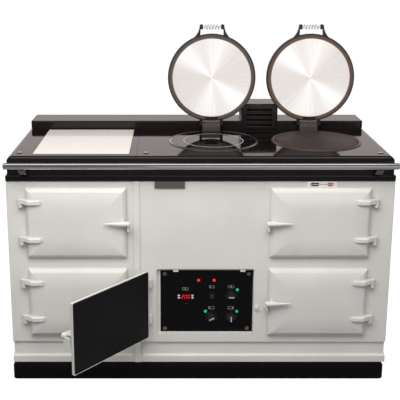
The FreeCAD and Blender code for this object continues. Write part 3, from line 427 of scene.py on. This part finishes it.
def segment_digit(x, z, digit, w=7.6, h=14.0, line=2.0, lean=0.14):
    """Seven-segment figure, leaning a little to the right."""
    half, bar = h / 2, w - line
    places = {"a": (0, half, bar, line), "g": (0, 0, bar, line), "d": (0, -half, bar, line),
              "b": (w / 2, half / 2, line, half - line), "c": (w / 2, -half / 2, line, half - line),
              "f": (-w / 2, half / 2, line, half - line), "e": (-w / 2, -half / 2, line, half - line)}
    lit = {"0": "abcdef", "2": "abged"}[digit]
    loops = []
    for name in lit:
        dx, dz, sx, sz = places[name]
        loops.append([(px + lean * (pz - z), pz) for px, pz in rect(x + dx, z + dz, sx, sz)])
    return loops


# x, z, which cell is filled, width
ICONS = ((-55.9, 371.0, 1, 24.0), (48.4, 379.4, 0, 20.0), (124.6, 380.3, 1, 24.0), (47.9, 290.5, 0, 24.0),
         (124.6, 290.5, 2, 24.0))
SELECTOR_X, SELECTOR_Z = 48.8, 342.4
BELOW_DISPLAY_X = -54.3
DIGIT_X, DIGIT_Z, DIGIT_PITCH = -66.4, 338.6, 12.2

icons = [mark for icon in ICONS for mark in cooker_icon(*icon)]
prints("panel_icons", icons, PANEL_Y, "print_grey", "cooker")
marks = [rect(BELOW_DISPLAY_X, 300.5, 0.9, 6.0), rect(BELOW_DISPLAY_X, 309.0, 16.0, 0.8),
         arc_band(SELECTOR_X, SELECTOR_Z, 13.0, 13.8, 20, 160, 14)]
for x, z, _ in KNOBS.values():
    marks += dial_marks(x, z) + [rect(x, z + 27.0, 0.9, 5.0)]
prints("panel_dial_marks", marks, PANEL_Y, "print_dark", "cooker")
digits = [loop for k, d in enumerate("200") for loop in segment_digit(DIGIT_X + DIGIT_PITCH * k, DIGIT_Z, d)]
prints("display_digits", digits, PANEL_Y - DISPLAY_PROUD, "digit_red", "cooker", 0.1)
for name, (x, z, turn) in KNOBS.items():
    prints(name + "_line", [rect(x, z, 3.6, 22.0, turn)], KNOB_FACE_Y, "key_white", name + "_body",
           0.25)
for name, x, width, look, slot in (("gauge_black_bars", 435.3, 29.6, "panel_black", "panel_black"),
                                   ("gauge_red_bars", 493.6, 20.2, "print_red", "lamp_red")):
    prints(name, [rect(x, z, width, 5.0) for z in GAUGE_BARS_Z], GAUGE_Y, look, "cooker")
prints("gauge_scale", [rect(462.0, 806.5, 96.0, 1.5)], GAUGE_Y, "plate_satin", "cooker", 0.6)


def ring_band(name, centre, z, inner, outer, height, material, body, steps=96):
    """Flat ring printed or laid on a level face."""
    bm = bmesh.new()
    rings = []
    for radius, lift in ((inner, 0.0), (inner, height), (outer, height), (outer, 0.0)):
        rings.append([bm.verts.new(((centre[0] + radius * math.cos(2 * math.pi * k / steps)) * MM,
                                    (centre[1] + radius * math.sin(2 * math.pi * k / steps)) * MM,
                                    (z + lift) * MM)) for k in range(steps)])
    for a, b in zip(rings, rings[1:] + rings[:1]):
        for k in range(steps):
            bm.faces.new((a[k - 1], a[k], b[k], b[k - 1]))
    return piece(name, bm, material, body)


HOB_LEFT_CENTRE, HOB_GLASS_TOP = (61.0, 269.0), 915.5
ring_band("hob_zone_ring", HOB_LEFT_CENTRE, HOB_GLASS_TOP, 119.5, 123.5, 0.15, "zone_grey", "cooker")


def screw_heads(name, places, radius, material, body):
    """Pan heads with a cross recess; each place is (point, outward normal) in millimetres."""
    bm = bmesh.new()
    count = 32

    def cross(radius_in, k):
        """Distance from the middle to the edge of the cross at the kth direction."""
        angle = 2 * math.pi * k / count
        off = abs((angle + math.pi / 4) % (math.pi / 2) - math.pi / 4)
        arm, half = 0.56 * radius_in, 0.17 * radius_in
        return min(arm / math.cos(off), half / max(math.sin(off), 1e-6))

    for point, normal in places:
        turn = Vector(normal).to_track_quat("Z", "Y").to_matrix().to_4x4()
        place = Matrix.Translation(Vector(point) * MM) @ turn
        rings = []
        for radial, lift in ((lambda k: radius, 0.0), (lambda k: radius, 0.25 * radius),
                             (lambda k: 0.82 * radius, 0.42 * radius),
                             (lambda k: cross(radius, k), 0.46 * radius),
                             (lambda k: 0.8 * cross(radius, k), 0.16 * radius)):
            rings.append([bm.verts.new(place @ Vector((radial(k) * MM * math.cos(2 * math.pi * k / count),
                                                       radial(k) * MM * math.sin(2 * math.pi * k / count),
                                                       lift * MM))) for k in range(count)])
        for a, b in zip(rings, rings[1:]):
            for k in range(count):
                bm.faces.new((a[k - 1], a[k], b[k], b[k - 1]))
        bm.faces.new(rings[-1])
        bm.faces.new(rings[0])
    return piece(name, bm, material, body)


BACK, FRONT = (0, 1, 0), (0, -1, 0)
BACK_Y = 672.0
PANEL_SCREW_PROUD = 3.2
PANEL_SCREWS = ((-137.1, 434.7), (193.4, 434.7), (-137.1, 204.1), (189.8, 204.1))

back_screws = [((x, BACK_Y, z), BACK) for x in (-728, -245, 728) for z in (210, 400, 590, 790)]
back_screws += [((x, BACK_Y, 806.0), BACK) for x in (-600, -430, -90, 100, 420, 590)]
screw_heads("casing_screws", back_screws, 4.2, "steel", "cooker")
screw_heads("panel_screw_faces", [((x, PANEL_Y - PANEL_SCREW_PROUD, z), FRONT) for x, z in PANEL_SCREWS],
            4.6, "brass_screw", "cooker")


# ---- lining of the control compartment's door -----------------------------------------------------
DOOR_EDGE_X, DOOR_W, DOOR_MID_Z, DOOR_HALF_H = -176.0, 394.0, 328.0, 140.0
DOOR_PIVOT, DOOR_OPEN_DEG = (-195.0, -13.0), 131.3
# width of the white edge left free, level of the sheet, top of its rolled rim, and where the rim begins
EDGE, SHEET_Y, ROLL_Y, RIM_FOOT_Y = 3.2, -3.2, -0.45, -0.95
RIB_INSET, RIB_GAP = 17.5, 3.0                # raised fields: inset from the door's edge, gap between them
SIDE_RISE, BAND_RISE, MIDDLE_RISE = 1.6, 0.9, 0.5


def rounded_loop(inset, corner, steps=6):
    """Outline of the door's inside, inset from its edge, as (x, z) in the closed door's own frame."""
    half_w, half_h = DOOR_W / 2 - inset, DOOR_HALF_H - inset
    loop = []
    for sx, sz, start in ((1, 1, 0), (-1, 1, 90), (-1, -1, 180), (1, -1, 270)):
        for k in range(steps + 1):
            a = math.radians(start + 90 * k / steps)
            loop.append((DOOR_W / 2 + sx * (half_w - corner) + corner * math.cos(a),
                         sz * (half_h - corner) + corner * math.sin(a)))
    return loop


def stack(bm, levels, place):
    """Closed skin over outlines that lie one above the other; each level is (outline, y)."""
    rings = [[bm.verts.new(place @ Vector((x * MM, y * MM, z * MM))) for x, z in loop]
             for loop, y in levels]
    for a, b in zip(rings, rings[1:]):
        for k in range(len(a)):
            bm.faces.new((a[k - 1], a[k], b[k], b[k - 1]))
    bm.faces.new(rings[0])
    bm.faces.new(rings[-1])


def box_loop(x0, x1, z0, z1, inset=0.0):
    x0, x1, z0, z1 = x0 + inset, x1 - inset, z0 + inset, z1 - inset
    return [(x0, z0), (x1, z0), (x1, z1), (x0, z1)]


def door_lining():
    """Pressed black sheet with a rolled rim, two upright channels and a middle in three bands."""
    pivot = Vector((DOOR_PIVOT[0] * MM, DOOR_PIVOT[1] * MM, 0))
    place = Matrix.Translation(pivot) @ Matrix.Rotation(math.radians(-DOOR_OPEN_DEG), 4, "Z") \
        @ Matrix.Translation(Vector((DOOR_EDGE_X * MM, 0, DOOR_MID_Z * MM)) - pivot)
    bm = bmesh.new()
    stack(bm, [(rounded_loop(EDGE, 7), RIM_FOOT_Y), (rounded_loop(EDGE, 7), ROLL_Y - 0.2),
               (rounded_loop(EDGE + 0.6, 6.6), ROLL_Y), (rounded_loop(EDGE + 5, 5), ROLL_Y),
               (rounded_loop(EDGE + 14, 4), SHEET_Y)], place)
    x_in, x_out = 0.266 * DOOR_W, 0.79 * DOOR_W
    z_low, z_high = -0.163 * 2 * DOOR_HALF_H, 0.185 * 2 * DOOR_HALF_H
    top = DOOR_HALF_H - RIB_INSET
    middle_x = x_in + RIB_GAP, x_out - RIB_GAP
    for x0, x1, z0, z1, rise in ((RIB_INSET, x_in - RIB_GAP, -top, top, SIDE_RISE),
                                 (x_out + RIB_GAP, DOOR_W - RIB_INSET, -top, top, SIDE_RISE),
                                 (*middle_x, z_high + RIB_GAP, top, BAND_RISE),
                                 (*middle_x, z_low + RIB_GAP, z_high - RIB_GAP, MIDDLE_RISE),
                                 (*middle_x, -top, z_low - RIB_GAP, BAND_RISE)):
        stack(bm, [(box_loop(x0, x1, z0, z1), SHEET_Y - 0.3),
                   (box_loop(x0, x1, z0, z1), SHEET_Y + 0.2 * rise),
                   (box_loop(x0, x1, z0, z1, 2.0), SHEET_Y + rise)], place)
    lining = piece("control_door_lining", bm, "door_panel", "control_compartment_door")
    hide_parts("control_door_panel")


door_lining()


# ---- camera, lights, floor --------------------------------------------------------------------
CAMERA_PLACE, CAMERA_TILT = (-0.10529, -2.93068, 1.65908), 12.803     # metres, degrees below level
CAMERA_LENS, CAMERA_SHIFT = 71.994, (0.06785, -0.15916)
AMBIENT = 0.42
# what reflections see of the world: where its pale part begins and is full, and the two levels
PALE_FROM, PALE_FULL, DIM_LEVEL, PALE_LEVEL = 0.84, 0.93, 0.15, 0.85
DIM_TINT = (1, 0.9, 0.88)

scene = bpy.context.scene
scene.view_settings.view_transform = "Standard"
camera_data = bpy.data.cameras.new("camera")
camera_data.lens = CAMERA_LENS
camera_data.shift_x, camera_data.shift_y = CAMERA_SHIFT
camera = bpy.data.objects.new("camera", camera_data)
camera.location = CAMERA_PLACE
camera.rotation_euler = (math.radians(90 - CAMERA_TILT), 0, 0)
scene.collection.objects.link(camera)
scene.camera = camera


def area(name, place, aim, size, energy, mirrored=True):
    """Rectangular lamp that the camera doesn't see, and reflections see only if mirrored."""
    data = bpy.data.lights.new(name, "AREA")
    data.shape = "RECTANGLE"
    data.size, data.size_y = size
    data.energy = energy
    lamp = bpy.data.objects.new(name, data)
    lamp.location = place
    lamp.rotation_euler = (Vector(aim) - Vector(place)).to_track_quat("-Z", "Y").to_euler()
    lamp.visible_camera = False
    lamp.visible_glossy = mirrored
    scene.collection.objects.link(lamp)


area("key_softbox", (-0.35, -1.25, 2.2), (0, 0.1, 0.8), (2.2, 1.0), 49, mirrored=False)
area("top_softbox", (0, -0.25, 3.0), (0, 0.0, 0.8), (2.6, 0.9), 12)
area("front_softbox", (0.8, -4.2, 0.8), (0.3, 0, 0.9), (2.3, 1.2), 8.6)

# white to the camera, pale behind the cooker and dim elsewhere in reflections, and a soft even light
world = bpy.data.worlds.new("studio")
scene.world = world
world.use_nodes = True
sky = Tree(world.node_tree)
soft = sky.tree.nodes["Background"]
soft.inputs["Color"].default_value = (1, 1, 1, 1)
soft.inputs["Strength"].default_value = AMBIENT
white = sky.new("ShaderNodeBackground")
path = sky.new("ShaderNodeLightPath").outputs
split = sky.new("ShaderNodeSeparateXYZ")
sky.link(sky.new("ShaderNodeTexCoord").outputs["Generated"], split.inputs[0])
behind = sky.range(split.outputs["Y"], DIM_LEVEL, PALE_LEVEL, PALE_FROM, PALE_FULL)
sky.link(sky.math("MAXIMUM", path["Is Camera Ray"], behind), white.inputs["Strength"])
sky.link(sky.mix(path["Is Camera Ray"], DIM_TINT, (1, 1, 1)), white.inputs["Color"])
seen = sky.math("MAXIMUM", path["Is Camera Ray"],
                sky.math("MAXIMUM", path["Is Glossy Ray"], path["Is Transmission Ray"]))
blend = sky.new("ShaderNodeMixShader")
for source, socket in zip((seen, soft.outputs[0], white.outputs[0]), blend.inputs):
    sky.link(source, socket)
sky.link(blend.outputs[0], sky.tree.nodes["World Output"].inputs["Surface"])

FLOOR_GLOW, FLOOR_IN_GLOSS = 0.97, 0.05       # level seen by the camera, and the share that gloss sees


def floor_material():
    """Pale studio floor: white to the camera with the object's shadow kept, dimmer in reflections."""
    n = Nodes("floor")
    n.shade(n.ramp(n.noise(3.0), [(0.3, 0.19), (0.7, 0.21)]), 0.8, Specular_IOR_Level=0.1)
    glow = n.new("ShaderNodeEmission")
    add = n.new("ShaderNodeAddShader")
    n.link(n.bsdf.outputs[0], add.inputs[0])
    n.link(glow.outputs[0], add.inputs[1])
    rays = n.new("ShaderNodeLightPath").outputs
    seen = n.math("MAXIMUM", rays["Is Camera Ray"], n.math("MULTIPLY", rays["Is Glossy Ray"], FLOOR_IN_GLOSS))
    seen = n.math("MAXIMUM", seen, rays["Is Transmission Ray"])
    n.link(n.math("MULTIPLY", seen, FLOOR_GLOW), glow.inputs["Strength"])
    n.link(add.outputs[0], n.tree.nodes["Material Output"].inputs["Surface"])
    return n.mat


HALF_FLOOR = 9.0
corners = [(x * HALF_FLOOR, y * HALF_FLOOR, 0) for x, y in ((-1, -1), (1, -1), (1, 1), (-1, 1))]
mesh = bpy.data.meshes.new("floor")
mesh.from_pydata(corners, [], [(0, 1, 2, 3)])
floor = bpy.data.objects.new("floor", mesh)
scene.collection.objects.link(floor)
floor.data.materials.append(floor_material())
